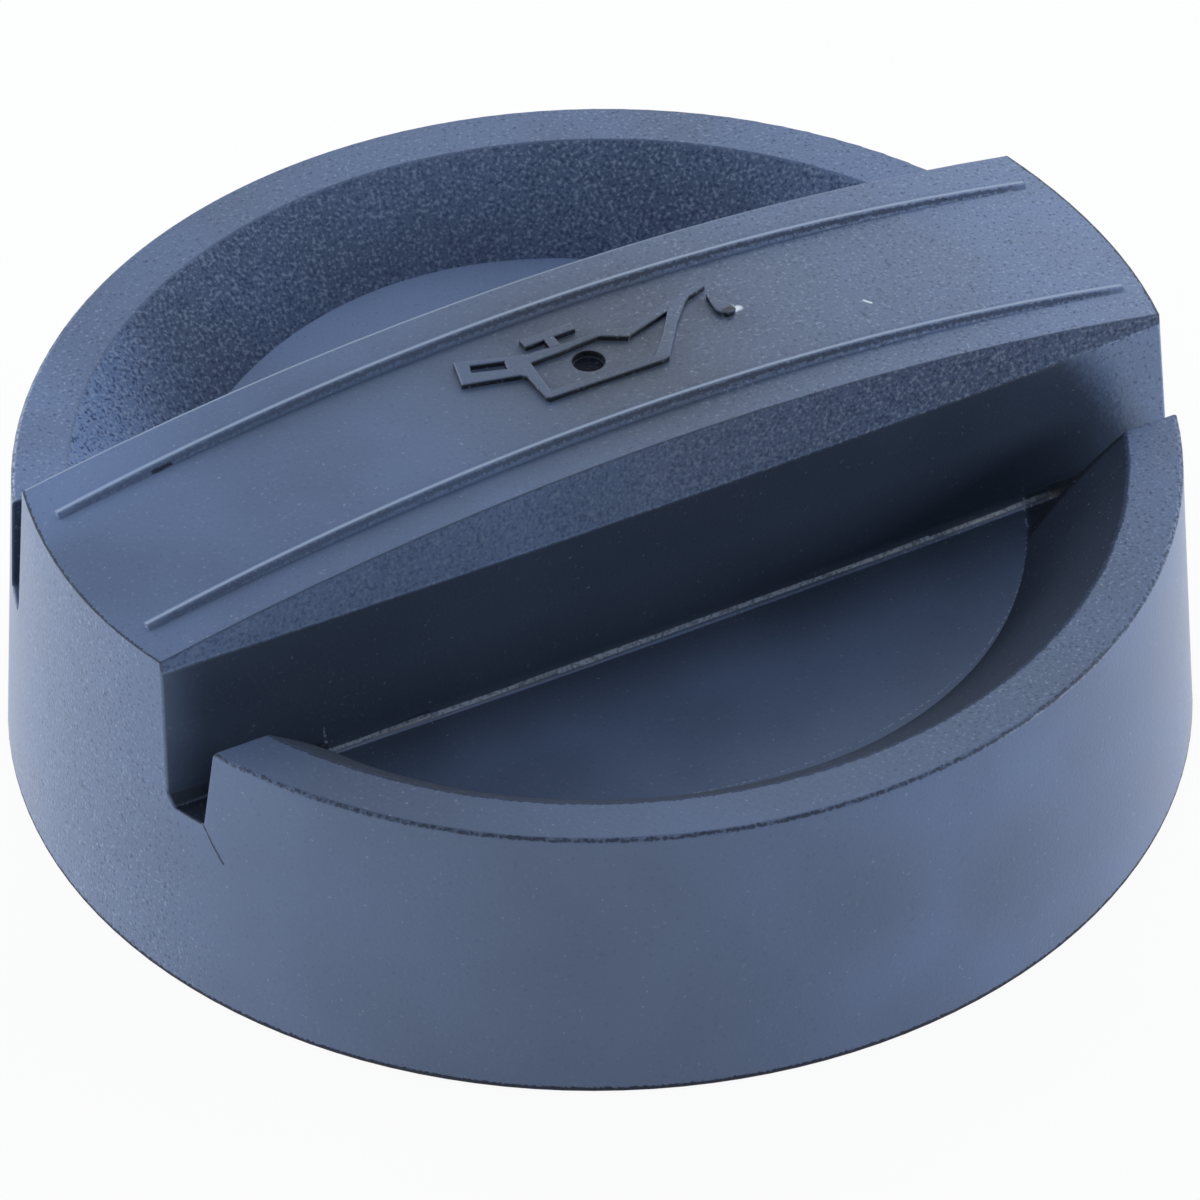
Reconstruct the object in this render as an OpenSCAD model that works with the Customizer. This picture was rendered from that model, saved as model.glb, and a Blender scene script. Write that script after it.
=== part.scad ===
// Oil filler cap of a car engine: a one-piece moulding with an arched grip bar, two finger pockets and a bayonet stem,
// and a rubber sealing ring around the stem.
// Origin: centre of the skirt's base ring. +Z up along the cap's axis, +X along the grip bar.

/* [Skirt and rim] */
// Diameter of the skirt at its base
skirt_d = 68; // [60:0.5:76]
// Height of the rim's flat top above the base
rim_h = 17.5; // [15.5:0.5:20]
// Draft of the skirt's outside, in degrees
skirt_draft = 3.2; // [1:0.1:6]
// Width of the rim's flat top
rim_w = 3.1; // [2:0.1:4.5]
// Wall thickness of the moulding
wall = 2.4; // [1.8:0.1:3]
// Radius of the rounded edges of the rim and the base
edge_r = 0.35; // [0.1:0.05:0.6]

/* [Finger pockets] */
// Depth of the pockets at the foot of the bar, below the rim
pocket_depth = 5.3; // [3.5:0.1:6.5]
// Width of the slope between rim and floor, seen from above
slope_w = 5.65; // [4:0.05:7]
// Radius of the slope's slightly bulging profile
slope_r = 23.4; // [12:0.2:40]
// Radius of the dished floor, seen along the bar
floor_r = 91; // [60:1:200]

/* [Grip bar] */
// Height of the bar's crown above the base
crown_h = 24.6; // [22.5:0.1:28]
// Radius of the arch along the bar's top
arch_r = 163.5; // [140:0.5:260]
// Width of the bar's top at its middle
bar_top_w = 16.9; // [14:0.1:18]
// Width of the bar at the line where its steep top band begins
bar_break_w = 18.5; // [15:0.05:19.5]
// Height of that line above the base
break_h = 20.75; // [19.2:0.05:21.4]
// Width of the bar at the pocket floor
bar_foot_w = 19.7; // [18.5:0.1:21]
// Radius of the bar's barrel-shaped sides, seen from above
barrel_r = 950; // [300:10:1500]
// Radius of the fillet at the bar's foot
foot_r = 0.7; // [0.3:0.05:1.2]
// Radius of the upright corners at the bar's ends
corner_r = 0.3; // [0.2:0.05:1]
// Height of the two beads above the crown
bead_h = 0.5; // [0.3:0.05:0.8]
// Radius of the beads' round section
bead_r = 0.5; // [0.3:0.05:0.8]
// Distance between the two beads
bead_gap = 11.1; // [7:0.1:13]
// Height of the beads above the bar's top at their ends
bead_end_h = 0.2; // [0.05:0.01:0.3]
// Length of the beads
bead_len = 62; // [40:1:63]
// Diameter of the gate mark in the bar's crown
gate_d = 1.9; // [1:0.05:3]
// Distance of the gate mark from the bar's middle
gate_x = -0.45; // [-2:0.05:2]
// Depth of the gate mark
gate_depth = 0.4; // [0.2:0.05:1]

/* [Notches beside the bar's ends] */
// Distance between the outer faces of the notches at their floor
notch_floor_w = 24; // [23:0.1:26]
// Distance between the outer faces of the notches at the rim
notch_top_w = 25; // [24:0.1:27]
// Radius of the rounding between a notch's floor and its outer face
notch_r = 0.4; // [0.2:0.05:0.6]

/* [Stem, seal and lugs] */
// Outer diameter of the stem
stem_d = 34; // [30:0.5:36]
// Wall thickness of the stem
stem_wall = 2.6; // [2:0.1:3.2]
// Gap between the stem's end and the plane of the base
stem_gap = 0.5; // [0.3:0.1:1]
// Thickness of the bayonet lugs
lug_t = 2.2; // [1.6:0.1:2.6]
// Radial reach of the lugs beyond the stem
lug_reach = 3.2; // [2:0.1:4]
// Angle that each lug spans, in degrees
lug_angle = 52; // [35:1:70]
// Height of the plain pilot nose below the lugs
nose_h = 2.3; // [1.5:0.1:2.6]
// Step from the pilot nose out to the stem, on the radius
nose_step = 0.3; // [0.15:0.05:0.6]
// Section width of the sealing ring
seal_w = 4.6; // [3:0.1:5]
// Section height of the sealing ring
seal_h = 3; // [2:0.1:3.4]
// Clearance between the sealing ring and the stem
seal_clear = 0.05; // [0.02:0.01:0.2]
// Clearance between the sealing ring and the collar around it
collar_clear = 0.25; // [0.1:0.05:0.5]
// Thickness of the collar
collar_t = 1.5; // [1:0.1:2]
// Height of the collar
collar_h = 1.9; // [1:0.1:2.4]

/* [Ribs] */
// Thickness of all ribs
rib_t = 1.4; // [1:0.1:2]
// Number of places for radial ribs around the cap
rib_places = 12; // [8:4:16]
// Distance between the two cross ribs inside the bar
cross_gap = 11; // [6:0.5:16]

/* [Hidden] */
fine = 180;
big = 100;
skirt_r = skirt_d / 2;
lean = tan(skirt_draft);
floor_z = rim_h - pocket_depth;
rim_out = skirt_r - lean * rim_h;
rim_in = rim_out - rim_w;
slope_foot = rim_in - slope_w;
plate_z = floor_z - wall;
inner_base = skirt_r - wall - 0.2;
notch_half = notch_top_w / 2;
core_half = bar_break_w / 2 - wall;
// Step between hollows and the walls beside them, and overlap of a rounding with the faces that it joins
ledge = 0.4;
over = 0.02;
stem_r = stem_d / 2;
nose_r = stem_r - nose_step;
stem_in = stem_r - stem_wall;
seal_in = stem_r + seal_clear;
seal_out = seal_in + seal_w;
collar_in = seal_out + collar_clear;
collar_out = collar_in + collar_t;
lug_z = stem_gap + nose_h;
arch_z = crown_h - arch_r;
bar_z0 = floor_z - 1;
side_angle = 2 * asin(skirt_d * 0.6 / barrel_r);

// Radius of the skirt's cone at a height
function cone_at(z) = skirt_r - lean * z;
// Radius of the skirt's inner wall at a height
function inner_at(z) = inner_base - lean * z;
// Height of the bar's top at a distance from the middle
function top_at(x) = arch_z + sqrt(arch_r * arch_r - x * x);

// Half the bar's width at a height below the line where its top band begins
function side_at(z) = bar_foot_w / 2 - (bar_foot_w - bar_break_w) / 2 * (z - floor_z - foot_r) / (break_h - floor_z - foot_r);
// Centre of the rounding of a corner of the bar at a height
function corner_axis(z) = let (
    off = corner_r - over,
    y = side_at(z) - (barrel_r - sqrt(barrel_r * barrel_r - skirt_r * skirt_r)) * 0.88 - off
) [sqrt((cone_at(z) - off) * (cone_at(z) - off) - y * y), y, z];

// Centre of the slope's profile circle, which passes through the rim's inner edge and the slope's foot
chord = sqrt(slope_w * slope_w + pocket_depth * pocket_depth);
reach = sqrt(slope_r * slope_r - chord * chord / 4);
slope_cx = (rim_in + slope_foot) / 2 + reach * pocket_depth / chord;
slope_cz = (rim_h + floor_z) / 2 - reach * slope_w / chord;

// Radius of the arch that the beads' centre line follows
bead_rise = bead_h - bead_end_h + crown_h - top_at(bead_len / 2);
bead_arch = (bead_len * bead_len / 4 + bead_rise * bead_rise) / (2 * bead_rise);

// Solid cone that the skirt and the bar's ends share
module cone_blank() {
    top = crown_h + 2;
    rotate_extrude($fn = fine) difference() {
        polygon([[0, plate_z], [inner_at(plate_z), plate_z], [inner_base, 0], [skirt_r, 0], [cone_at(top), top], [0, top]]);
        difference() {
            translate([skirt_r - edge_r - lean * edge_r, -1]) square([edge_r + 1, edge_r + 1]);
            translate([skirt_r - edge_r - lean * edge_r, edge_r - over]) circle(r = edge_r, $fn = 48);
        }
    }
}

// Everything above the rim, with the rim's rounded outer edge
module rim_space() {
    rotate_extrude($fn = fine) union() {
        translate([0, rim_h]) square([big, 20]);
        difference() {
            translate([rim_out - edge_r, rim_h - edge_r]) square([big, edge_r + 1]);
            translate([cone_at(rim_h - edge_r) - edge_r + over, rim_h - edge_r + over]) circle(r = edge_r, $fn = 48);
        }
    }
}

// Space above the slope, as a body of revolution
module pocket_space() {
    rotate_extrude($fn = fine) difference() {
        translate([0, floor_z - 1]) square([rim_in + 0.8, pocket_depth + 3]);
        translate([slope_cx, slope_cz]) circle(r = slope_r, $fn = 360);
    }
}

// Everything above the floor: level beside the bar, then dished up towards the rim
module above_floor() {
    rotate([90, 0, 90]) linear_extrude(height = big, center = true) {
        translate([-notch_half, floor_z]) square([notch_top_w, 30]);
        for (side = [-1, 1]) {
            intersection() {
                translate([side * notch_half, floor_z + floor_r]) circle(r = floor_r, $fn = 360);
                translate([side > 0 ? notch_half - 0.01 : -big / 2, floor_z - 1]) square([big / 2 - notch_half + 0.01, 30]);
            }
        }
    }
}

// Straight channel through slope and rim beside the bar, with drafted outer faces
module notch_channel() {
    flare = (notch_top_w - notch_floor_w) / 2 / pocket_depth;
    top = pocket_depth + 3;
    difference() {
        rotate([90, 0, 90]) linear_extrude(height = big, center = true) difference() {
            translate([0, floor_z]) polygon([
                [-notch_floor_w / 2, 0], [notch_floor_w / 2, 0],
                [notch_floor_w / 2 + flare * top, top], [-notch_floor_w / 2 - flare * top, top]
            ]);
            for (side = [0, 1]) {
                mirror([side, 0]) difference() {
                    translate([notch_floor_w / 2 - notch_r + over, floor_z - 1]) square([1, notch_r + 1]);
                    translate([notch_floor_w / 2 - notch_r + flare * notch_r + over, floor_z + notch_r - over])
                        circle(r = notch_r, $fn = 48);
                }
            }
        }
        cylinder(r = slope_foot - 3, h = big, center = true, $fn = fine);
    }
}

// One side of the bar: a sector of a very large disc whose rim has the bar's side profile
module bar_side() {
    axis_y = barrel_r - bar_break_w / 2;
    top_slope = (bar_break_w - bar_top_w) / 2 / (crown_h - break_h);
    translate([0, -axis_y, 0]) rotate([0, 0, 90 - side_angle / 2]) rotate_extrude(angle = side_angle, $fn = 720)
        difference() {
            polygon([
                [axis_y - 30, bar_z0], [axis_y + bar_foot_w / 2 + foot_r, bar_z0],
                [axis_y + bar_foot_w / 2 + foot_r, floor_z - over], [axis_y + bar_foot_w / 2, floor_z + foot_r - over],
                [axis_y + bar_break_w / 2, break_h],
                [axis_y + bar_top_w / 2 - 2 * top_slope, crown_h + 2], [axis_y - 30, crown_h + 2]
            ]);
            translate([axis_y + bar_foot_w / 2 + foot_r, floor_z + foot_r - over]) circle(r = foot_r, $fn = 48);
        }
}

// What one upright corner of the bar loses to its rounding, above the fillet at its foot
module corner_cut() {
    low = corner_axis(floor_z + foot_r);
    high = corner_axis(break_h);
    run = high - low;
    turn = atan2(run[1], run[0]);
    out = atan2(low[1], low[0]);
    far = 4 * corner_r;
    translate(low) rotate([0, acos(run[2] / norm(run)), turn]) rotate([0, 0, -turn]) translate([0, 0, 0.1])
        linear_extrude(height = 20) difference() {
            polygon([[0, 0], far * [cos(out), sin(out)], far * [1, 1], [0, far]]);
            circle(r = corner_r, $fn = 48);
        }
}

// Grip bar before its ends are trimmed: two barrel sides under the arch, with rounded upright corners
module bar_blank() {
    difference() {
        intersection() {
            bar_side();
            mirror([0, 1, 0]) bar_side();
            translate([0, 0, arch_z]) rotate([90, 0, 0]) cylinder(r = arch_r, h = 60, center = true, $fn = 720);
        }
        for (end = [0, 180]) {
            rotate([0, 0, end]) corner_cut();
            rotate([0, 0, end]) mirror([0, 1, 0]) corner_cut();
        }
    }
}

// One long thin bead that rises from the bar's top towards the middle
module bead() {
    span = 2 * asin(bead_len / 2 / bead_arch);
    translate([0, 0, crown_h + bead_h - bead_arch]) rotate([90, 0, 0]) rotate([0, 0, 90 - span / 2])
        rotate_extrude(angle = span, $fn = 720) translate([bead_arch - bead_r, 0]) circle(r = bead_r, $fn = 24);
}

// Hollow crescents under the slopes, reached from below
module crescents() {
    intersection() {
        rotate_extrude($fn = fine) intersection() {
            translate([slope_cx, slope_cz]) circle(r = slope_r - wall, $fn = 360);
            polygon([
                [slope_foot, plate_z - 1], [inner_at(plate_z - 1) - ledge, plate_z - 1],
                [inner_at(rim_h) - ledge, rim_h], [slope_foot, rim_h]
            ]);
        }
        union() {
            for (side = [0, 180]) {
                rotate([0, 0, side]) translate([-big / 2, notch_half + wall, plate_z - 2]) cube([big, big, 20]);
            }
        }
    }
}

// Hollows inside the bar, reached from below: one inside the stem and one at each end
module bar_cores() {
    intersection() {
        translate([0, 0, arch_z]) rotate([90, 0, 0])
            cylinder(r = arch_r - wall, h = 2 * core_half, center = true, $fn = 720);
        difference() {
            translate([0, 0, plate_z - 1])
                cylinder(r1 = inner_at(plate_z - 1) - ledge, r2 = inner_at(crown_h) - ledge, h = crown_h - plate_z + 1, $fn = fine);
            difference() {
                translate([0, 0, plate_z - 2]) cylinder(r = collar_out + ledge, h = big, $fn = fine);
                translate([0, 0, plate_z - 3]) cylinder(r = stem_in, h = big, $fn = fine);
            }
            for (x = [-1, 1]) {
                translate([x * cross_gap / 2 - rib_t / 2, -core_half - 1, plate_z + wall]) cube([rib_t, 2 * core_half + 2, 20]);
            }
        }
    }
}

// Radial ribs between the collar and the skirt, left out under the bar's ends
module radial_ribs() {
    rib_z = plate_z - collar_h;
    intersection() {
        union() {
            for (i = [0 : rib_places - 1]) {
                a = 360 / rib_places * i;
                if (abs(sin(a)) > 0.3) {
                    rotate([0, 0, a]) translate([collar_in + 0.2, -rib_t / 2, rib_z]) cube([skirt_r - wall - collar_in, rib_t, rim_h - wall - rib_z]);
                }
            }
        }
        rotate_extrude($fn = fine) polygon([
            [collar_in, rib_z], [inner_at(rib_z) + 0.3, rib_z], [inner_at(rim_h - wall) + 0.3, rim_h - wall],
            [slope_foot + wall, plate_z + 0.3], [collar_in, plate_z + 0.3]
        ]);
    }
}

// Round stem with its pilot nose and two bayonet lugs
module stem() {
    rotate_extrude($fn = fine) polygon([
        [stem_in, stem_gap], [nose_r - 0.4, stem_gap], [nose_r, stem_gap + 0.4], [nose_r, lug_z],
        [stem_r, lug_z], [stem_r, plate_z + 0.3], [stem_in, plate_z + 0.3]
    ]);
    for (side = [0, 180]) {
        rotate([0, 0, side - lug_angle / 2]) rotate_extrude(angle = lug_angle, $fn = fine)
            polygon([
                [stem_r - 0.7, lug_z], [stem_r + lug_reach - 0.4, lug_z], [stem_r + lug_reach, lug_z + 0.4],
                [stem_r + lug_reach, lug_z + lug_t], [stem_r - 0.7, lug_z + lug_t]
            ]);
    }
}

// Low collar that keeps the sealing ring central
module collar() {
    rotate_extrude($fn = fine) polygon([
        [collar_in, plate_z - collar_h], [collar_out, plate_z - collar_h],
        [collar_out, plate_z + 0.3], [collar_in, plate_z + 0.3]
    ]);
}

module cap_body() {
    color([0.40, 0.46, 0.56]) {
        difference() {
            union() {
                difference() {
                    cone_blank();
                    difference() {
                        union() {
                            rim_space();
                            intersection() {
                                pocket_space();
                                above_floor();
                            }
                            notch_channel();
                        }
                        bar_blank();
                    }
                }
                bead_pair();
            }
            crescents();
            bar_cores();
            translate([gate_x, 0, crown_h - gate_depth]) cylinder(d = gate_d, h = 2, $fn = 48);
        }
        stem();
        collar();
        radial_ribs();
    }
}

module bead_pair() {
    for (side = [-1, 1]) {
        translate([0, side * bead_gap / 2, 0]) bead();
    }
}

// Rubber ring with two sealing lips on its lower face
module sealing_ring() {
    color([0.06, 0.06, 0.065]) rotate_extrude($fn = fine) polygon([
        [seal_in, plate_z], [seal_out, plate_z], [seal_out, plate_z - seal_h + 0.4],
        [seal_out - 0.4, plate_z - seal_h], [seal_out - 1.1, plate_z - seal_h], [seal_out - 1.5, plate_z - seal_h + 0.5],
        [seal_in + 1.5, plate_z - seal_h + 0.5], [seal_in + 1.1, plate_z - seal_h], [seal_in + 0.4, plate_z - seal_h],
        [seal_in, plate_z - seal_h + 0.4]
    ]);
}

cap_body();
sealing_ring();
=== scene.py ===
import math
from types import SimpleNamespace

import bpy
from mathutils import Matrix, Vector


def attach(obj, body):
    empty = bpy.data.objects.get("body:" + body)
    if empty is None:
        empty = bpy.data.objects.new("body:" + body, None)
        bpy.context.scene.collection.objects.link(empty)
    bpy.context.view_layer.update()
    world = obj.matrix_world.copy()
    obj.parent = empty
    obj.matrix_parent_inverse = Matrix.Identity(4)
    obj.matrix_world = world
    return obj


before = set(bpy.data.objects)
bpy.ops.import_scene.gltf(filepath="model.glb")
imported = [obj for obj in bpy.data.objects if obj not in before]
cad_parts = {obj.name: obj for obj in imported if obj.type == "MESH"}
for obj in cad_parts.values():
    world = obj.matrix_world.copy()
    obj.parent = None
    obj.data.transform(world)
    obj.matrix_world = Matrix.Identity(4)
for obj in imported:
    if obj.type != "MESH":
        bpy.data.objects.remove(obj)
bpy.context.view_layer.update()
scene = bpy.context.scene
MM = 0.001

# Sizes that the dressing shares with the part, in metres
BASE_R = 34.0 * MM
LEAN = math.tan(math.radians(3.2))
RIM_Z = 17.5 * MM
RIM_OUT = BASE_R - LEAN * RIM_Z
RIM_IN = RIM_OUT - 3.1 * MM
SLOPE_FOOT = RIM_IN - 5.65 * MM
FLOOR_Z = 12.2 * MM
BREAK_Z = 20.75 * MM
CROWN_Z = 24.6 * MM
ARCH_R = 163.5 * MM
TOP_HALF = 8.45 * MM
BREAK_HALF = 9.25 * MM
FOOT_HALF = 9.85 * MM
BARREL_R = 950 * MM
BAND_LEAN = (BREAK_HALF - TOP_HALF) / (CROWN_Z - BREAK_Z)
BEAD_Y = 5.55 * MM
BEAD_HALF = 31.0 * MM
NOTCH_HALF = 12.5 * MM
GATE = (-0.45, 0.0, 24.6)
GATE_R = 0.95 * MM


def bar_top(x):
    """Height of the bar's arched top at a distance from the middle."""
    return CROWN_Z - ARCH_R + math.sqrt(ARCH_R * ARCH_R - x * x)


def in_metres(place):
    return tuple(value * MM for value in place)


class Sheet:
    """A node tree, with short ways to add, feed and combine its nodes."""

    def __init__(self, tree):
        self.tree = tree

    def add(self, kind, **settings):
        node = self.tree.nodes.new(kind)
        for name, value in settings.items():
            setattr(node, name, value)
        return node

    def feed(self, node, socket, value):
        """Links value to an input socket, or sets it there when it is a number or a tuple."""
        target = node.inputs[socket]
        if isinstance(value, bpy.types.NodeSocket):
            self.tree.links.new(value, target)
        else:
            target.default_value = value

    def math(self, operation, *values, clamp=False):
        node = self.add("ShaderNodeMath", operation=operation, use_clamp=clamp)
        for socket, value in enumerate(values):
            self.feed(node, socket, value)
        return node.outputs[0]

    def plus(self, a, b):
        return self.math("ADD", a, b)

    def minus(self, a, b):
        return self.math("SUBTRACT", a, b)

    def times(self, *factors):
        result = factors[0]
        for factor in factors[1:]:
            result = self.math("MULTIPLY", result, factor)
        return result

    def times_plus(self, value, factor, offset):
        return self.math("MULTIPLY_ADD", value, factor, offset)

    def largest(self, *values):
        result = values[0]
        for value in values[1:]:
            result = self.math("MAXIMUM", result, value)
        return result

    def vector(self, operation, a, b):
        node = self.add("ShaderNodeVectorMath", operation=operation)
        self.feed(node, 0, a)
        self.feed(node, 1, b)
        gives_value = operation in ("DOT_PRODUCT", "DISTANCE")
        return node.outputs["Value" if gives_value else "Vector"]

    def scaled(self, vector, factor):
        node = self.add("ShaderNodeVectorMath", operation="SCALE")
        self.feed(node, 0, vector)
        self.feed(node, "Scale", factor)
        return node.outputs[0]

    def length(self, vector):
        node = self.add("ShaderNodeVectorMath", operation="LENGTH")
        self.feed(node, 0, vector)
        return node.outputs["Value"]

    def split(self, vector):
        node = self.add("ShaderNodeSeparateXYZ")
        self.feed(node, 0, vector)
        return node.outputs

    def noise(self, position, scale):
        node = self.add("ShaderNodeTexNoise")
        self.feed(node, "Vector", position)
        self.feed(node, "Scale", scale)
        self.feed(node, "Detail", 1.0)
        return node.outputs[0]

    def ramp(self, value, low, high, to_low=0.0, to_high=1.0):
        """Smooth step of a value from low to high."""
        node = self.add("ShaderNodeMapRange", interpolation_type="SMOOTHSTEP")
        self.feed(node, "Value", value)
        self.feed(node, "From Min", low)
        self.feed(node, "From Max", high)
        self.feed(node, "To Min", to_low)
        self.feed(node, "To Max", to_high)
        return node.outputs["Result"]

    def within(self, value, low, high, soft):
        """1 where value lies between low and high, with soft ends."""
        above = self.ramp(value, low - soft, low + soft)
        below = self.ramp(value, high + soft, high - soft)
        return self.times(above, below)

    def fade(self, mask, value):
        """1 where the mask is 0, value where it is 1."""
        if isinstance(value, bpy.types.NodeSocket):
            change = self.minus(value, 1.0)
        else:
            change = value - 1.0
        return self.times_plus(mask, change, 1.0)

    def blend(self, factor, a, b):
        """Number a where the factor is 0, b where it is 1."""
        node = self.add("ShaderNodeMix", data_type="FLOAT")
        for socket, value in ((0, factor), (2, a), (3, b)):
            self.feed(node, socket, value)
        return node.outputs[0]

    def mix_color(self, factor, a, b):
        """Colour a where the factor is 0, b where it is 1."""
        node = self.add("ShaderNodeMix", data_type="RGBA")
        for socket, value in ((0, factor), (6, a), (7, b)):
            self.feed(node, socket, value)
        return node.outputs[2]

    def use(self, group, **values):
        """Places a shader group and feeds its named inputs."""
        node = self.add("ShaderNodeGroup", node_tree=group)
        for label, value in values.items():
            self.feed(node, label.replace("_", " "), value)
        return node.outputs

    def bump(self, height, strength, distance):
        node = self.add("ShaderNodeBump")
        self.feed(node, "Height", height)
        self.feed(node, "Strength", strength)
        self.feed(node, "Distance", distance)
        return node

    def finish(self, shader, kind="ShaderNodeOutputMaterial"):
        self.feed(self.add(kind), "Surface", shader.outputs[0])


def new_material(name):
    """An empty material and the sheet of its nodes."""
    material = bpy.data.materials.new(name)
    material.use_nodes = True
    material.node_tree.nodes.clear()
    return material, Sheet(material.node_tree)


# Shared surface effects

FLOAT, VECTOR = "NodeSocketFloat", "NodeSocketVector"


def new_group(name, inputs, masks):
    """A shader group that gives out masks; returns its sheet, its inputs and its output node."""
    tree = bpy.data.node_groups.new(name, "ShaderNodeTree")
    for label, kind, value in inputs:
        socket = tree.interface.new_socket(label, in_out="INPUT", socket_type=kind)
        if value is not None:
            socket.default_value = value
    for label in masks:
        tree.interface.new_socket(label, in_out="OUTPUT", socket_type=FLOAT)
    sheet = Sheet(tree)
    return sheet, sheet.add("NodeGroupInput").outputs, sheet.add("NodeGroupOutput")


def grain_group():
    """Fine moulded grain: a height for the bump and a soft tone that wanders over the surface."""
    sheet, given, out = new_group(
        "Moulded grain",
        [("Position", VECTOR, None), ("Grain size", FLOAT, 0.0002), ("Cloud size", FLOAT, 0.008)],
        ["Height", "Tone"],
    )
    for label, size in (("Height", "Grain size"), ("Tone", "Cloud size")):
        sheet.feed(out, label, sheet.noise(given["Position"], sheet.math("DIVIDE", 1.0, given[size])))
    return sheet.tree


def speckle_group():
    """Masks of the light and dark specks of an etched mould face, and of its rare bright glints, which are
    painted highlights.
    """
    sheet, given, out = new_group(
        "Etched speckle",
        [("Position", VECTOR, None), ("Speck size", FLOAT, 0.0001), ("Spare", FLOAT, 0.04)],
        ["Light", "Dark", "Glint"],
    )
    noise = sheet.noise(given["Position"], sheet.math("DIVIDE", 0.55, given["Speck size"]))
    offset = sheet.minus(noise, 0.5)
    ends = sheet.plus(given["Spare"], 0.13)
    sheet.feed(out, "Light", sheet.ramp(offset, given["Spare"], ends))
    sheet.feed(out, "Dark", sheet.ramp(sheet.times(offset, -1.0), given["Spare"], ends))
    sheet.feed(out, "Glint", sheet.ramp(offset, 0.255, 0.285))
    return sheet.tree


def line_group():
    """A thin mark between two points, such as a scratch or a nick."""
    sheet, given, out = new_group(
        "Line mark",
        [("Position", VECTOR, None), ("Start", VECTOR, None), ("End", VECTOR, None),
         ("Width", FLOAT, 0.0002), ("Waver", FLOAT, 0.5)],
        ["Mask"],
    )
    from_start = sheet.vector("SUBTRACT", given["Position"], given["Start"])
    whole = sheet.vector("SUBTRACT", given["End"], given["Start"])
    reached = sheet.vector("DOT_PRODUCT", from_start, whole)
    share = sheet.math("DIVIDE", reached, sheet.vector("DOT_PRODUCT", whole, whole), clamp=True)
    away = sheet.length(sheet.vector("SUBTRACT", from_start, sheet.scaled(whole, share)))
    uneven = sheet.times(given["Width"], sheet.plus(given["Waver"], 0.35))
    sheet.feed(out, "Mask", sheet.ramp(away, uneven, sheet.times(uneven, 0.3)))
    return sheet.tree


# Masks of the cap's faces and edges


def ring_distance(sheet, at, ring_radius, ring_z):
    """Distance from a circle around the cap's axis."""
    out_by = sheet.minus(at.radius, ring_radius)
    up_by = sheet.minus(at.z, ring_z)
    squares = sheet.plus(sheet.times(out_by, out_by), sheet.times(up_by, up_by))
    return sheet.math("SQRT", squares)


def cap_place(sheet, given):
    """Measures of a point on the cap that its masks are worked out from."""
    x, y, z = sheet.split(given["Position"])
    normal_x, normal_y, normal_z = sheet.split(given["Direction"])
    along = sheet.math("ABSOLUTE", x)
    across = sheet.math("ABSOLUTE", y)
    squared = sheet.times(x, x)
    radius = sheet.math("SQRT", sheet.times_plus(y, y, squared))
    # Distance from the axis when slid down the skirt's lean to the base
    cone = sheet.times_plus(z, LEAN, radius)
    # Distance from the bar's middle plane with the barrel shape taken out
    width = sheet.times_plus(squared, 0.5 / BARREL_R, across)
    return SimpleNamespace(
        x=x, y=y, z=z, normal_x=normal_x, normal_y=normal_y, normal_z=normal_z,
        along=along, across=across, radius=radius, cone=cone, width=width,
        ragged=sheet.times_plus(given["Waver"], 0.3 * MM, -0.15 * MM),
        waver=given["Waver"],
        low=sheet.ramp(z, 14.0 * MM, 13.4 * MM),
        in_front=sheet.ramp(y, 2 * MM, -2 * MM),
        on_top=sheet.ramp(z, BREAK_Z, BREAK_Z + 0.3 * MM),
    )


def bar_masks(sheet, at):
    """The bar's side walls, their ends with painted light, the steep band above them, and nearness to the
    bar.
    """
    upright = sheet.ramp(sheet.math("ABSOLUTE", at.normal_y), 0.1, 0.4)
    inside = sheet.ramp(at.cone, BASE_R - 0.02 * MM, BASE_R - 0.1 * MM)
    side = sheet.times(upright, sheet.ramp(at.width, FOOT_HALF + 1.15 * MM, FOOT_HALF + 0.85 * MM), inside)
    above_break = sheet.ramp(at.z, BREAK_Z - 0.02 * MM, BREAK_Z + 0.10 * MM)
    off_top = sheet.ramp(at.width, TOP_HALF - 0.25 * MM, TOP_HALF - 0.10 * MM)
    low_side = sheet.within(at.z, FLOOR_Z + 0.07 * MM, BREAK_Z + 0.14 * MM, 0.06 * MM)
    # Painted light: the right end of the front wall is lit over the rim, so it is paler above a slanting
    # line, and the left end is a little paler too
    slanting = sheet.times_plus(at.ragged, 6.0, sheet.times_plus(at.z, 0.58, at.x))
    right_end = sheet.ramp(slanting, 36.4 * MM, 40.4 * MM)
    left_end = sheet.times(sheet.ramp(at.x, -29.0 * MM, -32.2 * MM), 0.35)
    return {
        "Bar band": sheet.times(side, above_break, off_top),
        "Bar side": sheet.times(side, low_side),
        "Bar end": sheet.times(sheet.plus(right_end, left_end), sheet.ramp(at.y, 0.0, -5 * MM)),
        "Near bar": sheet.ramp(at.width, 16.0 * MM, 9.5 * MM),
    }


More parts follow.
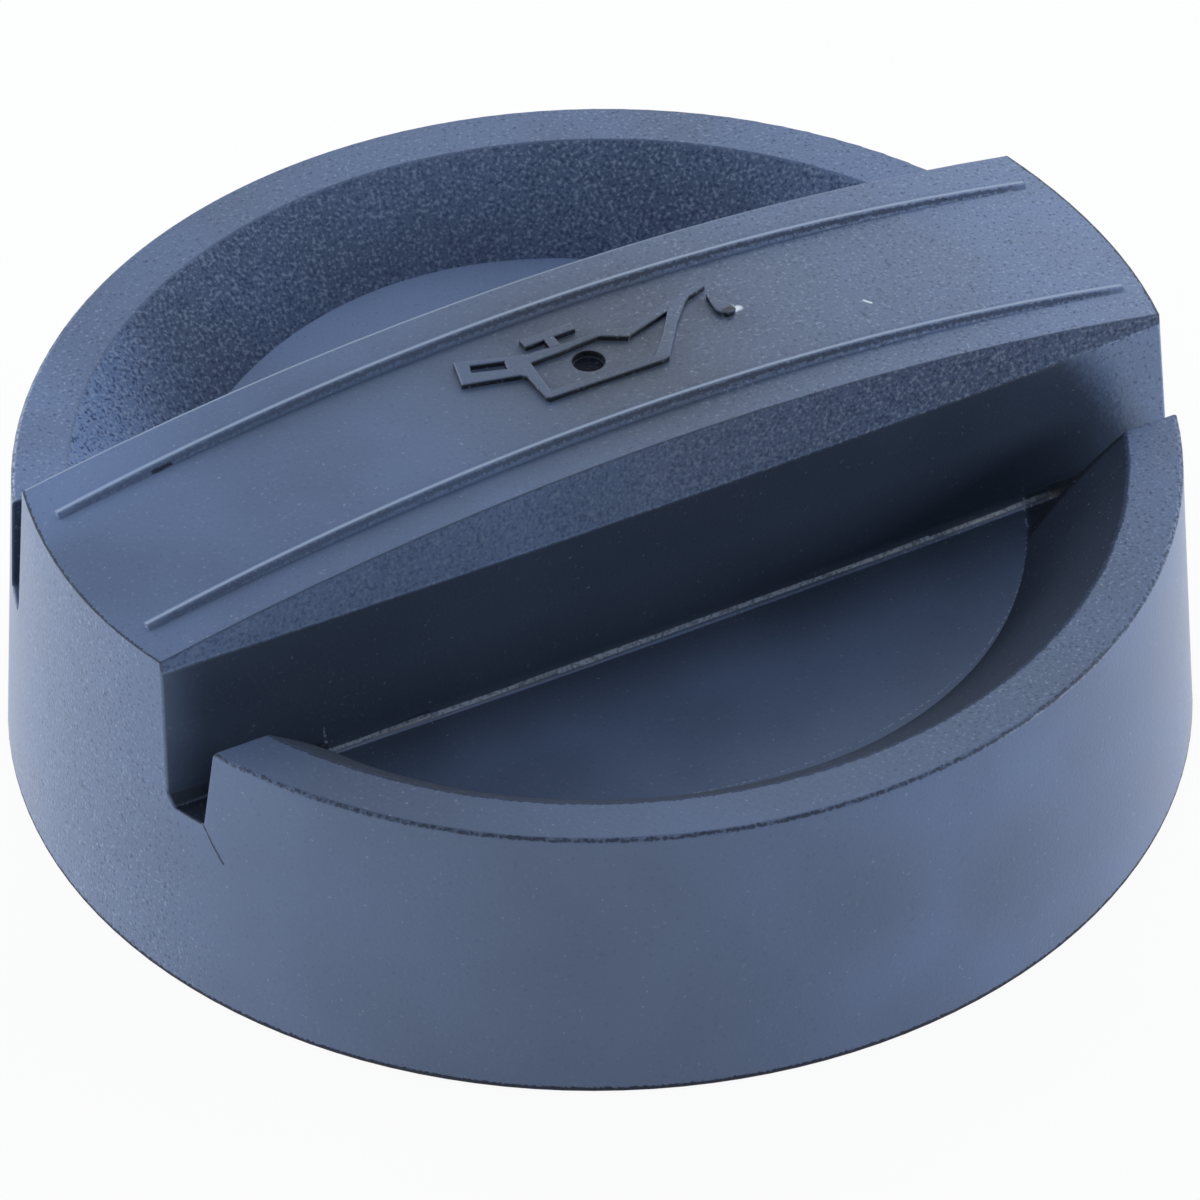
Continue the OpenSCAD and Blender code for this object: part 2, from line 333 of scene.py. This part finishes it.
def pocket_masks(sheet, at):
    """The pockets' slopes and floors, the notches and the skirt."""
    tilted = sheet.ramp(at.normal_z, 0.97, 0.94)
    slope = sheet.times(sheet.within(at.radius, SLOPE_FOOT, RIM_IN, 0.1 * MM), tilted)
    slope = sheet.times(slope, sheet.ramp(at.across, 11.5 * MM, 11.9 * MM))
    slope = sheet.times(slope, sheet.ramp(at.z, RIM_Z - 0.02 * MM, RIM_Z - 0.12 * MM))
    skirt = sheet.ramp(at.cone, BASE_R - 0.2 * MM, BASE_R - 0.08 * MM)
    notch = sheet.ramp(at.width, FOOT_HALF - 0.05 * MM, FOOT_HALF + 0.10 * MM)
    notch = sheet.times(notch, sheet.ramp(at.across, NOTCH_HALF + 0.35 * MM, NOTCH_HALF + 0.05 * MM))
    notch = sheet.times(notch, sheet.ramp(at.radius, 24.2 * MM, 24.6 * MM))
    notch = sheet.times(notch, sheet.within(at.z, FLOOR_Z - 0.1 * MM, RIM_Z - 0.08 * MM, 0.06 * MM))
    return {
        "Slope": slope,
        "Floor": sheet.times_plus(at.low, sheet.times(tilted, -1.0), at.low),
        "Notch": sheet.times(notch, sheet.minus(1.0, skirt)),
        "Skirt": skirt,
    }


def sign_wall(sheet, at):
    """The upright faces of the raised sign that look to the front or the left, which get painted shade."""
    on_sign = sheet.ramp(at.z, CROWN_Z - 0.45 * MM, CROWN_Z - 0.35 * MM)
    on_sign = sheet.times(on_sign, sheet.ramp(at.across, 4.6 * MM, 4.4 * MM))
    facing = sheet.ramp(sheet.plus(at.normal_x, at.normal_y), 0.5, -0.2)
    return sheet.times(on_sign, sheet.ramp(at.normal_z, 0.8, 0.5), facing)


def edge_masks(sheet, at):
    """Painted shade and painted highlights: dark and pale lines along the edges, slightly ragged."""
    # Painted shade: dark lines along the rim's outer and inner edge, the bar's end arcs and the skirt's base
    off_bar = sheet.ramp(at.width, FOOT_HALF + 0.35 * MM, FOOT_HALF + 0.75 * MM)
    lip = sheet.plus(ring_distance(sheet, at, RIM_OUT, RIM_Z), at.ragged)
    lip = sheet.times(sheet.ramp(lip, 0.20 * MM, 0.10 * MM), off_bar, 0.75)
    inner = sheet.plus(ring_distance(sheet, at, RIM_IN, RIM_Z), at.ragged)
    inner = sheet.times(sheet.ramp(inner, 0.16 * MM, 0.08 * MM), off_bar, at.in_front, 0.6)
    arc = sheet.ramp(sheet.plus(at.cone, at.ragged), BASE_R - 0.17 * MM, BASE_R - 0.11 * MM)
    arc = sheet.times(arc, at.on_top, sheet.ramp(at.normal_z, 0.8, 0.95), 0.75)
    base = sheet.times(sheet.ramp(sheet.plus(at.z, at.ragged), 0.50 * MM, 0.38 * MM), 0.95)

    # Painted shade: a dark line along the bar's front edge, and the shade in front of each bead
    band_gap = sheet.times_plus(at.z, BAND_LEAN, at.width)
    edge_at = BREAK_HALF + BREAK_Z * BAND_LEAN
    bar_edge = sheet.within(band_gap, edge_at - 0.12 * MM, edge_at + 0.1 * MM, 0.04 * MM)
    bar_edge = sheet.times(bar_edge, at.on_top)
    beside = sheet.minus(at.y, sheet.times(sheet.math("SIGN", at.y), BEAD_Y))
    on_bead = sheet.times(at.on_top, sheet.ramp(at.normal_z, -0.3, -0.1))
    on_bead = sheet.times(on_bead, sheet.ramp(at.along, BEAD_HALF + 0.1 * MM, BEAD_HALF - 0.1 * MM))
    shade = sheet.within(sheet.plus(beside, at.ragged), -0.41 * MM, -0.18 * MM, 0.05 * MM)
    shade = sheet.times(shade, on_bead, sheet.ramp(at.x, -30 * MM, 15 * MM, 0.35, 0.65))
    shade = sheet.times(shade, sheet.ramp(at.along, BEAD_HALF, BEAD_HALF - 2 * MM, 0.3, 1.0))
    front_edge = sheet.times(bar_edge, at.in_front, 0.5)

    # Painted highlights: pale lines along the beads' crest, the bar's back edge, and the foot of the slope
    # and of the bar
    crest = sheet.times(sheet.within(beside, -0.06 * MM, 0.15 * MM, 0.04 * MM), on_bead, 0.9)
    back_edge = sheet.times(bar_edge, sheet.ramp(at.y, -2 * MM, 2 * MM))
    back_edge = sheet.times(back_edge, sheet.ramp(at.x, 20 * MM, -10 * MM, 0.15, 1.0))
    slope_foot = sheet.within(at.radius, SLOPE_FOOT - 0.05 * MM, SLOPE_FOOT + 0.07 * MM, 0.03 * MM)
    slope_foot = sheet.times(slope_foot, sheet.ramp(at.waver, 0.5, 0.62), at.in_front, at.low, 0.6)
    foot = sheet.within(at.z, FLOOR_Z + 0.12 * MM, FLOOR_Z + 0.30 * MM, 0.03 * MM)
    foot = sheet.times(foot, sheet.ramp(at.width, FOOT_HALF + 0.9 * MM, FOOT_HALF + 0.8 * MM))
    foot = sheet.times(foot, sheet.ramp(at.along, 24.5 * MM, 20.5 * MM))
    foot = sheet.times(foot, sheet.ramp(at.waver, 0.3, 0.6, 0.3, 0.9))
    return {
        "Painted edge shade": sheet.largest(shade, front_edge, lip, inner, arc, base),
        "Painted edge highlight": sheet.largest(crest, back_edge, slope_foot, foot),
    }


def cap_group():
    """Masks of the cap's own faces and edges, from place and direction in the part's frame."""
    sheet, given, out = new_group(
        "Cap faces and edges",
        [("Position", VECTOR, None), ("Direction", VECTOR, None), ("Waver", FLOAT, 0.5)],
        ["Bar side", "Bar band", "Bar end", "Slope", "Floor", "Notch", "Skirt", "Near bar", "Sign wall",
         "Along", "Across", "Painted edge shade", "Painted edge highlight"],
    )
    at = cap_place(sheet, given)
    masks = {"Along": at.x, "Across": at.y, "Sign wall": sign_wall(sheet, at)}
    for some in (bar_masks, pocket_masks, edge_masks):
        masks.update(some(sheet, at))
    for label, mask in masks.items():
        sheet.feed(out, label, mask)
    return sheet.tree


GRAIN = grain_group()
SPECKLE = speckle_group()
LINE = line_group()
CAP = cap_group()

# Marks on the moulding, with painted shade and a painted highlight on the oil drop: start, end and width in
# millimetres
DARK_MARKS = [
    ((-25.15, 5.15, 22.75), (-24.1, 5.15, 22.9), 0.24),
    ((-31.1, -11.93, 12.25), (-30.89, -12.64, 11.14), 0.11),
    ((-30.89, -12.64, 11.14), (-30.66, -13.33, 10.25), 0.14),
    # Painted shade on the oil drop's round end
    ((8.42, 0.22, 24.62), (8.8, 0.26, 24.62), 0.40),
]
LIGHT_MARKS = [
    # Painted highlight beside the oil drop's round end
    ((9.15, 0.42, 24.42), (9.4, 0.46, 24.40), 0.42),
    ((16.25, -1.8, 23.83), (16.5, -2.15, 23.8), 0.16),
]
# Faint dull stains: middle and radius in millimetres, and strength
STAINS = [((1.5, 0.0, 24.6), 16.0, 1.0), ((-1.0, -33.4, 10.5), 7.0, 0.45), ((8.0, -32.6, 8.0), 7.0, 0.4)]

# Colours of the moulding and of what is on it
PLASTIC_DEEP = (0.077, 0.116, 0.215, 1)
PLASTIC_LIGHT = (0.084, 0.126, 0.235, 1)
PLASTIC_GREY = (0.078, 0.110, 0.186, 1)
STAIN = (0.060, 0.076, 0.115, 1)
SPECK_DARK = (0.018, 0.030, 0.078, 1)
SPECK_PALE = (0.27, 0.33, 0.44, 1)
FLECK_AND_HIGHLIGHT = (0.65, 0.70, 0.76, 1)
LINE_DARK = (0.004, 0.007, 0.020, 1)

# Painted light and shade: how light a face's colour is against the bar's top; and how much rougher the face
# is
PAINTED_FACE_SHADES = {"Bar side": 0.34, "Notch": 0.36, "Skirt": 1.15, "Sign wall": 0.12}
FACE_ROUGHNESS = {"Skirt": -0.19, "Bar side": -0.25, "Slope": 0.35}
TOP_ROUGHNESS = 0.52


def line_marks(sheet, spot, marks):
    """One mask of all the marks in a list."""
    masks = [0.0]
    for start, end, width in marks:
        ends = {"Start": in_metres(start), "End": in_metres(end)}
        line = sheet.use(LINE, Position=spot.position, Width=width * MM, Waver=spot.grain["Height"], **ends)
        masks.append(line["Mask"])
    return sheet.largest(*masks)


def moulding_spot(sheet):
    """Where on the moulding a point lies: its masks, its grain and ramps along and across the bar."""
    position = sheet.add("ShaderNodeTexCoord").outputs["Object"]
    direction = sheet.add("ShaderNodeNewGeometry").outputs["Normal"]
    grain = sheet.use(GRAIN, Position=position, Grain_size=0.22 * MM, Cloud_size=7 * MM)
    cap = sheet.use(CAP, Position=position, Direction=direction, Waver=grain["Height"])
    return SimpleNamespace(
        position=position,
        grain=grain,
        cap=cap,
        x=cap["Along"],
        y=cap["Across"],
        behind_bar=sheet.ramp(cap["Across"], -2 * MM, 2 * MM),
        rightward=sheet.ramp(cap["Along"], -30 * MM, 32 * MM),
        far_left=sheet.ramp(cap["Along"], -15 * MM, -22 * MM),
        off_skirt=sheet.ramp(cap["Skirt"], 1.0, 0.0),
        # Ends of the front wall that get painted light
        pale_end=sheet.times(cap["Bar side"], cap["Bar end"]),
    )


def painted_face_light_and_shade(sheet, spot):
    """Painted light and shade: how light the colour is on each face of the moulding, against the bar's top.
    """
    cap = spot.cap
    # Painted shade on the front slopes, darkest at the right; painted light on the back slope, strongest at
    # its left
    front_slope = sheet.ramp(spot.x, 18 * MM, 30 * MM, 0.32, 0.24)
    back_slope = sheet.times(0.80, sheet.fade(spot.far_left, 1.9))
    slope = sheet.fade(cap["Slope"], sheet.ramp(spot.behind_bar, 0.0, 1.0, front_slope, back_slope))
    # Painted shadow of the bar on the front floor near it, and painted light on the back floor
    floor_by_bar = sheet.times(cap["Floor"], cap["Near bar"], sheet.ramp(spot.behind_bar, 1.0, 0.0))
    back_floor = sheet.times(cap["Floor"], spot.behind_bar)
    floor = sheet.times(sheet.fade(floor_by_bar, 0.31), sheet.fade(back_floor, 1.62))
    # Painted light on the steep band, strongest at its left, and on the front wall's lit ends
    band = sheet.fade(cap["Bar band"], sheet.ramp(spot.rightward, 0.3, 1.0, 1.65, 1.0))
    shade = sheet.times(slope, floor, band, sheet.fade(spot.pale_end, 3.8))
    # Painted shade on the bar's side walls, the notches and the sign's walls; painted light on the skirt
    for label, value in PAINTED_FACE_SHADES.items():
        shade = sheet.times(shade, sheet.fade(cap[label], value))
    # Painted shadow of the bar on the front left rim, and painted light on the back left rim
    front_left = sheet.times(sheet.ramp(spot.x, -6 * MM, -24 * MM), sheet.ramp(spot.y, -8 * MM, -16 * MM))
    back_left = sheet.times(sheet.ramp(spot.x, -20 * MM, -27 * MM), sheet.ramp(spot.y, 2 * MM, 8 * MM))
    for rim, value in ((front_left, 0.8), (back_left, 1.45)):
        shade = sheet.times(shade, sheet.fade(sheet.times(rim, spot.off_skirt), value))
    # Painted light that grows towards the right
    rightmost = sheet.times(spot.x, sheet.ramp(cap["Skirt"], 1.0, 0.0, 0.8, 1.0))
    shade = sheet.times(shade, sheet.ramp(rightmost, 18 * MM, 32 * MM, 1.0, 1.28))
    return sheet.times(shade, sheet.ramp(spot.grain["Tone"], 0.3, 0.7, 0.96, 1.04))


def surface_specks(sheet, spot):
    """Etched specks, dense on slopes and band and sparse elsewhere, and how strongly they show."""
    cap = spot.cap
    etched = sheet.times(cap["Slope"], sheet.ramp(spot.behind_bar, 0.0, 1.0, 0.2, 1.0))
    etched = sheet.times(etched, sheet.ramp(spot.x, 16 * MM, -12 * MM, 0.4, 1.0))
    band = sheet.times(cap["Bar band"], sheet.ramp(spot.rightward, 0.2, 1.0, 0.55, 1.0))
    etched = sheet.largest(etched, band)
    on_skirt = sheet.largest(sheet.ramp(spot.x, 22 * MM, 29 * MM), sheet.ramp(spot.x, -30 * MM, -33.5 * MM))
    on_tops = sheet.largest(
        sheet.ramp(spot.x, -14 * MM, 20 * MM, 0.15, 1.0), sheet.ramp(spot.y, 10.5 * MM, 13 * MM, 0.0, 0.7)
    )
    dusty = sheet.blend(cap["Skirt"], on_tops, on_skirt)
    dusty = sheet.times(dusty, sheet.fade(cap["Bar side"], 0.1), sheet.fade(cap["Floor"], 0.1))
    dusty = sheet.times(dusty, sheet.fade(cap["Slope"], sheet.ramp(spot.behind_bar, 0.0, 1.0, 0.15, 1.0)))
    dusty = sheet.largest(dusty, sheet.times(spot.pale_end, spot.rightward, 0.7))
    spare = sheet.ramp(etched, 0.0, 0.5, sheet.ramp(dusty, 0.0, 1.0, 0.13, 0.095), 0.045)
    specks = sheet.use(SPECKLE, Position=spot.position, Speck_size=0.12 * MM, Spare=spare)
    return specks, sheet.largest(etched, sheet.ramp(dusty, 0.0, 1.0, 0.25, 1.0))


def plain_colour(sheet, spot):
    """Blue-grey of the moulding, greyer on skirt and bar sides, with faint stains."""
    tone = spot.grain["Tone"]
    colour = sheet.mix_color(sheet.ramp(tone, 0.3, 0.7), PLASTIC_DEEP, PLASTIC_LIGHT)
    grey = sheet.times(spot.cap["Skirt"], sheet.ramp(spot.rightward, 0.55, 0.0, 0.4, 1.0))
    colour = sheet.mix_color(sheet.largest(grey, spot.cap["Bar side"]), colour, PLASTIC_GREY)
    stains = [0.0]
    for middle, size, strength in STAINS:
        away = sheet.vector("DISTANCE", spot.position, in_metres(middle))
        stains.append(sheet.ramp(away, size * MM, 0.0, 0.0, strength))
    stain = sheet.times(sheet.largest(*stains), sheet.ramp(tone, 0.35, 0.65, 0.55, 1.0))
    return sheet.mix_color(stain, colour, STAIN)


def pale_specks_and_highlights(sheet, spot, specks, amount):
    """Mask of bright specks, painted glints and the painted highlight lines along edges."""
    cap = spot.cap
    pale = sheet.times(specks["Light"], amount)
    pale = sheet.times(pale, sheet.fade(cap["Skirt"], sheet.ramp(spot.rightward, 0.0, 1.0, 0.55, 1.2)))
    pale = sheet.times(pale, sheet.ramp(sheet.largest(spot.far_left, cap["Bar band"]), 0.0, 1.0, 0.5, 0.85))
    pale = sheet.times(pale, sheet.fade(cap["Bar side"], sheet.ramp(cap["Bar end"], 0.3, 1.0, 0.3, 1.0)))
    glint = sheet.times(specks["Glint"], sheet.fade(cap["Bar side"], 0.4), 0.6)
    return sheet.times(sheet.largest(pale, glint, cap["Painted edge highlight"]), 0.8)


def plastic_material():
    """Blue-grey moulded plastic: satin tops, etched slopes, fine grain, specks, stains and small marks, with
    painted light and shade on its faces and painted shade and highlights along its edges.
    """
    material, sheet = new_material("satin_moulded_plastic")
    spot = moulding_spot(sheet)
    specks, amount = surface_specks(sheet, spot)
    away = sheet.vector("DISTANCE", spot.position, in_metres(GATE))
    in_gate = sheet.ramp(away, GATE_R + 0.03 * MM, GATE_R - 0.05 * MM)
    # Dark lines: real nicks and a scratch, painted shade on the oil drop, along the edges and in the gate's
    # recess
    dark = sheet.times(line_marks(sheet, spot, DARK_MARKS), 0.92)
    # Painted shade in the gate's small recess
    gate_recess_shade = sheet.times(in_gate, sheet.fade(specks["Light"], 0.7), 0.98)
    dark = sheet.largest(dark, spot.cap["Painted edge shade"], gate_recess_shade)

    colour = sheet.scaled(plain_colour(sheet, spot), painted_face_light_and_shade(sheet, spot))
    colour = sheet.mix_color(sheet.times(specks["Dark"], amount, 0.72), colour, SPECK_DARK)
    colour = sheet.mix_color(pale_specks_and_highlights(sheet, spot, specks, amount), colour, SPECK_PALE)
    # Pale flecks, and a painted highlight beside the oil drop
    colour = sheet.mix_color(line_marks(sheet, spot, LIGHT_MARKS), colour, FLECK_AND_HIGHLIGHT)
    colour = sheet.mix_color(dark, colour, LINE_DARK)

    rough = sheet.ramp(spot.grain["Tone"], 0.3, 0.7, TOP_ROUGHNESS - 0.02, TOP_ROUGHNESS + 0.02)
    rough = sheet.times_plus(sheet.largest(spot.cap["Painted edge shade"], in_gate), 0.4, rough)
    for label, change in FACE_ROUGHNESS.items():
        rough = sheet.times_plus(spot.cap[label], change, rough)

    round_edge = sheet.add("ShaderNodeBevel", samples=2)
    sheet.feed(round_edge, "Radius", 0.18 * MM)
    bump = sheet.bump(spot.grain["Height"], 0.25, 0.06 * MM)
    sheet.feed(bump, "Normal", round_edge.outputs[0])
    shader = sheet.add("ShaderNodeBsdfPrincipled")
    sheet.feed(shader, "Base Color", colour)
    sheet.feed(shader, "Roughness", rough)
    sheet.feed(shader, "IOR", 1.5)
    sheet.feed(shader, "Specular IOR Level", 0.33)
    sheet.feed(shader, "Normal", bump.outputs[0])
    sheet.finish(shader)
    return material


def rubber_material():
    """Black sealing rubber with a dull, slightly dusty skin."""
    material, sheet = new_material("black_seal_rubber")
    position = sheet.add("ShaderNodeTexCoord").outputs["Object"]
    grain = sheet.use(GRAIN, Position=position, Grain_size=0.35 * MM, Cloud_size=6 * MM)
    shader = sheet.add("ShaderNodeBsdfPrincipled")
    colour = sheet.mix_color(grain["Tone"], (0.012, 0.012, 0.013, 1), (0.030, 0.030, 0.032, 1))
    sheet.feed(shader, "Base Color", colour)
    sheet.feed(shader, "Roughness", sheet.ramp(grain["Tone"], 0.2, 0.8, 0.55, 0.75))
    sheet.feed(shader, "Normal", sheet.bump(grain["Height"], 0.3, 0.04 * MM).outputs[0])
    sheet.finish(shader)
    return material


PLASTIC = plastic_material()
RUBBER = rubber_material()


def dress(node, material):
    """Gives a CAD node its finish."""
    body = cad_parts[node]
    body.data.materials.clear()
    body.data.materials.append(material)


dress("cap_body", PLASTIC)
dress("sealing_ring", RUBBER)

# The raised oil-can sign on the bar: outlines of its pieces in plan, in millimetres, holes included
SIGN = {
    "oil_can_sign": [
        [(-7.2, 3.45), (-7.72, 1.4), (-4.5, 0.45), (-4.25, 0.15), (-4.18, -2.0), (-4.05, -2.15), (3.1, -2.24),
         (3.55, -2.12), (5.45, 0.42), (6.75, 1.9), (7.2, 2.3), (7.85, 2.52), (8.5, 2.78), (8.56, 2.95),
         (7.76, 2.99), (7.3, 2.95), (6.6, 2.67), (5.45, 2.26), (2.86, 1.27), (1.55, 1.87), (-0.3, 1.77),
         (-3.42, 1.97), (-4.2, 2.25)],
        [(-6.55, 2.66), (-6.75, 2.12), (-4.85, 1.38), (-4.72, 2.03)],
        [(-3.47, 1.15), (-3.7, -1.58), (2.95, -1.62), (4.2, -0.15), (5.2, 1.25), (5.42, 1.62), (2.36, 0.57),
         (0.98, 1.38), (-0.5, 1.28), (-1.66, 1.17)],
    ],
    "oil_can_knob": [[(-3.08, 2.55), (0.12, 2.62), (0.15, 3.3), (-3.1, 3.3)]],
    "oil_can_knob_stem": [[(-1.88, 1.7), (-1.24, 1.7), (-1.24, 2.7), (-1.88, 2.7)]],
    "oil_drop": [
        [(8.22, 2.1), (8.12, 1.6), (8.02, 0.9), (8.0, 0.5), (8.15, 0.12), (8.45, -0.08), (8.8, -0.05),
         (9.08, 0.2), (9.12, 0.55), (8.95, 0.9), (8.62, 1.3), (8.4, 1.75)],
    ],
}
SIGN_RISE = 0.3 * MM
SIGN_EDGE = 0.08 * MM


def raised_shape(name, outlines):
    """A flat shape with softly rounded upper edges that follows the arch of the bar's top."""
    curve = bpy.data.curves.new(name, "CURVE")
    curve.dimensions = "2D"
    curve.fill_mode = "BOTH"
    curve.extrude = SIGN_RISE * 0.9 - SIGN_EDGE
    curve.bevel_depth = SIGN_EDGE
    curve.bevel_resolution = 2
    curve.offset = -SIGN_EDGE
    for outline in outlines:
        spline = curve.splines.new("POLY")
        spline.points.add(len(outline) - 1)
        spline.use_cyclic_u = True
        for point, (x, y) in zip(spline.points, outline):
            point.co = (x * MM, y * MM, 0, 1)
    shape = bpy.data.objects.new(name + "_outline", curve)
    scene.collection.objects.link(shape)
    bpy.context.view_layer.update()
    mesh = bpy.data.meshes.new_from_object(shape.evaluated_get(bpy.context.evaluated_depsgraph_get()))
    bpy.data.objects.remove(shape)
    mesh.name = name
    for vertex in mesh.vertices:
        vertex.co.z += bar_top(vertex.co.x) + SIGN_RISE * 0.1
    for face in mesh.polygons:
        face.use_smooth = False
    mesh.materials.clear()
    mesh.materials.append(PLASTIC)
    piece = bpy.data.objects.new(name, mesh)
    scene.collection.objects.link(piece)
    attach(piece, "root")


for piece_name, piece_outlines in SIGN.items():
    raised_shape(piece_name, piece_outlines)


# Floor, light and camera

WHITE = (1, 1, 1, 1)
FLOOR_REACH = 3.0
FLOOR_DROP = 0.02 * MM
WORLD_LIGHT = 0.06


def floor_material():
    """Pale matt floor: it lights the cap as a pale floor does, and the camera sees it close to white."""
    material, sheet = new_material("pale_floor")
    material.cycles.emission_sampling = "NONE"
    paths = sheet.add("ShaderNodeLightPath").outputs
    seen = sheet.largest(paths["Is Camera Ray"], paths["Is Glossy Ray"])
    matt = sheet.add("ShaderNodeBsdfDiffuse")
    sheet.feed(matt, "Color", (0.82, 0.82, 0.82, 1))
    glow = sheet.add("ShaderNodeEmission")
    sheet.feed(glow, "Color", WHITE)
    sheet.feed(glow, "Strength", 1.0)
    mixed = sheet.add("ShaderNodeMixShader")
    for socket, value in enumerate((sheet.times(seen, 0.93), matt.outputs[0], glow.outputs[0])):
        sheet.feed(mixed, socket, value)
    sheet.finish(mixed)
    return material


def build_floor():
    mesh = bpy.data.meshes.new("floor")
    corners = [(x * FLOOR_REACH, y * FLOOR_REACH, 0) for x, y in ((-1, -1), (1, -1), (1, 1), (-1, 1))]
    mesh.from_pydata(corners, [], [(0, 1, 2, 3)])
    mesh.materials.append(floor_material())
    floor = bpy.data.objects.new("floor", mesh)
    floor.location.z = -FLOOR_DROP
    scene.collection.objects.link(floor)


def build_world():
    """Dim light from all around, and plain white where the camera looks past the floor."""
    world = bpy.data.worlds.new("studio")
    world.use_nodes = True
    world.node_tree.nodes.clear()
    sheet = Sheet(world.node_tree)
    mixed = sheet.add("ShaderNodeMixShader")
    sheet.feed(mixed, 0, sheet.add("ShaderNodeLightPath").outputs["Is Camera Ray"])
    for socket, strength in ((1, WORLD_LIGHT), (2, 1.0)):
        light = sheet.add("ShaderNodeBackground")
        sheet.feed(light, "Color", WHITE)
        sheet.feed(light, "Strength", strength)
        sheet.feed(mixed, socket, light.outputs[0])
    sheet.finish(mixed, "ShaderNodeOutputWorld")
    scene.world = world


# The photo's view of the cap: camera angles in degrees, distance and shifts in metres, sizes in pixels
AZIMUTH, ELEVATION, ROLL = map(math.radians, (-28.017, 39.449, 0.757))
CAMERA_DISTANCE = 587.558 * MM
PHOTO_WIDTH = 1200
FOCAL_PIXELS = 10362.287
SENSOR_WIDTH = 36
AIM = Vector((0, 0, 12 * MM))
SHIFT_RIGHT = 0.067 * MM
SHIFT_DOWN = 3.768 * MM

level_back = Vector((math.sin(AZIMUTH), -math.cos(AZIMUTH), 0))
back = level_back * math.cos(ELEVATION) + Vector((0, 0, math.sin(ELEVATION)))
right = Vector((math.cos(AZIMUTH), math.sin(AZIMUTH), 0))
up = back.cross(right)

LAMP_DISTANCE = 0.7
LAMP_COLOUR = (0.94, 1.0, 1.05)
LONG, WIDE, SQUARE = (0.40, 0.20), (0.60, 0.40), (0.40, 0.40)
# Softboxes: name, degrees from straight behind the cap towards the right, height in degrees, size, watts
SOFTBOXES = [
    ("left_strip", -90, 10, LONG, 3.1),
    ("left_back_strip", -50, 10, LONG, 4.2),
    ("left_front_strip", -135, 10, LONG, 1.0),
    ("right_strip", 90, 10, LONG, 3.9),
    ("right_back_strip", 50, 10, LONG, 0.9),
    ("back_panel", 20, 25, WIDE, 2.15),
    ("back_top_panel", 10, 45, WIDE, 0.95),
    ("front_top_panel", 180, 60, SQUARE, 1.15),
]


def add_softbox(name, turn, height, size, watts):
    turn = math.radians(turn)
    height = math.radians(height)
    level = right * math.sin(turn) - level_back * math.cos(turn)
    lamp = bpy.data.lights.new(name, "AREA")
    lamp.shape = "RECTANGLE"
    lamp.size, lamp.size_y = size
    lamp.energy = watts
    lamp.color = LAMP_COLOUR
    holder = bpy.data.objects.new(name, lamp)
    holder.location = AIM + (level * math.cos(height) + Vector((0, 0, math.sin(height)))) * LAMP_DISTANCE
    holder.rotation_euler = (AIM - holder.location).to_track_quat("-Z", "Y").to_euler()
    scene.collection.objects.link(holder)


def build_camera():
    camera = bpy.data.cameras.new("photo_view")
    camera.sensor_width = SENSOR_WIDTH
    camera.lens = FOCAL_PIXELS * SENSOR_WIDTH / PHOTO_WIDTH
    camera.clip_start = 0.05
    camera.clip_end = 20
    holder = bpy.data.objects.new("photo_view", camera)
    across = right * math.cos(ROLL) - up * math.sin(ROLL)
    upward = right * math.sin(ROLL) + up * math.cos(ROLL)
    turn = Matrix((across, upward, back)).transposed().to_4x4()
    place = AIM + right * SHIFT_RIGHT - up * SHIFT_DOWN + back * CAMERA_DISTANCE
    holder.matrix_world = Matrix.Translation(place) @ turn
    scene.collection.objects.link(holder)
    scene.camera = holder


build_floor()
build_world()
for softbox in SOFTBOXES:
    add_softbox(*softbox)
build_camera()
scene.view_settings.view_transform = "Standard"
